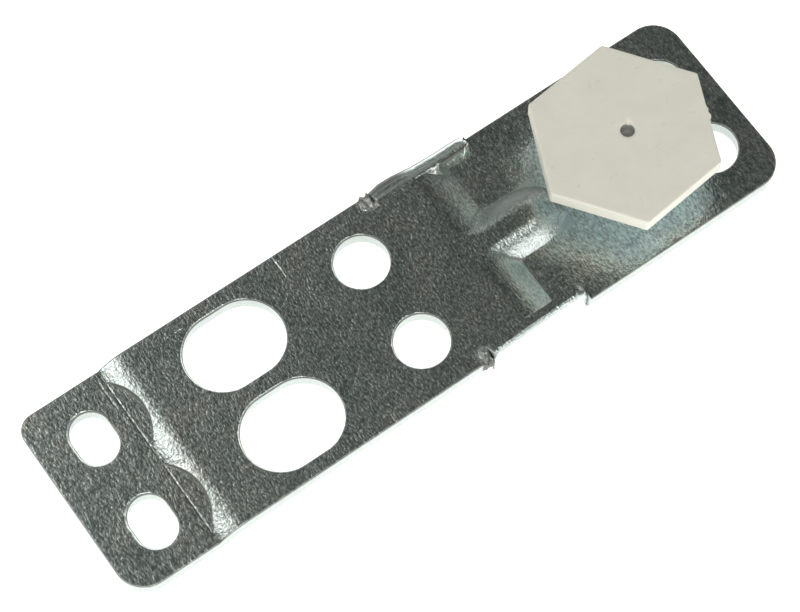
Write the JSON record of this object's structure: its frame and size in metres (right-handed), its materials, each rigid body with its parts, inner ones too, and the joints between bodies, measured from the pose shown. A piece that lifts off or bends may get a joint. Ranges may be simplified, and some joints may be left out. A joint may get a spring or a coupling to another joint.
{
  "type": "adjustable foot bracket",
  "caption": "Joggled, zinc-plated steel mounting bracket with slotted and round fixing holes, carrying a white hexagonal screw-adjustable levelling foot on a threaded stud.",
  "frame": {"origin": "on the rear face of the slotted fixing flange, midway between its two slots", "axes": "+X along the strip from the flange towards the foot; +Y across the strip; +Z out of the front, the side that the foot's sole faces. In use +Z points down to the floor and the rear face lies against the appliance"},
  "size_m": [0.1251, 0.035, 0.0248],
  "materials": {
    "zinc_plate": "bright zinc-plated pressed steel, fine grain and light scratches",
    "fastener_steel": "zinc-plated turned steel",
    "foot_plastic": "off-white moulded nylon, satin"
  },
  "bodies": {
    "bracket_body": {"bracket": "zinc_plate", "weld_nut": "fastener_steel"},
    "stud": {"threaded_stud": "fastener_steel"},
    "foot": {"hex_foot": "foot_plastic"}
  },
  "joints": [
    {"name": "foot_travel", "type": "slide", "parent": "bracket_body", "child": "stud", "axis": [0, 0, 1], "range_m": [-0.00125, 0.00625]},
    {"name": "foot_turn", "type": "hinge", "parent": "stud", "child": "foot", "pos_m": [0.0949, 0, 0.0089], "axis": [0, 0, 1], "range_deg": [-360, 1800]}
  ],
  "couplings": [
    {"joint": "foot_travel", "follows": "foot_turn", "m_per_rad": 0.00019894}
  ]
}
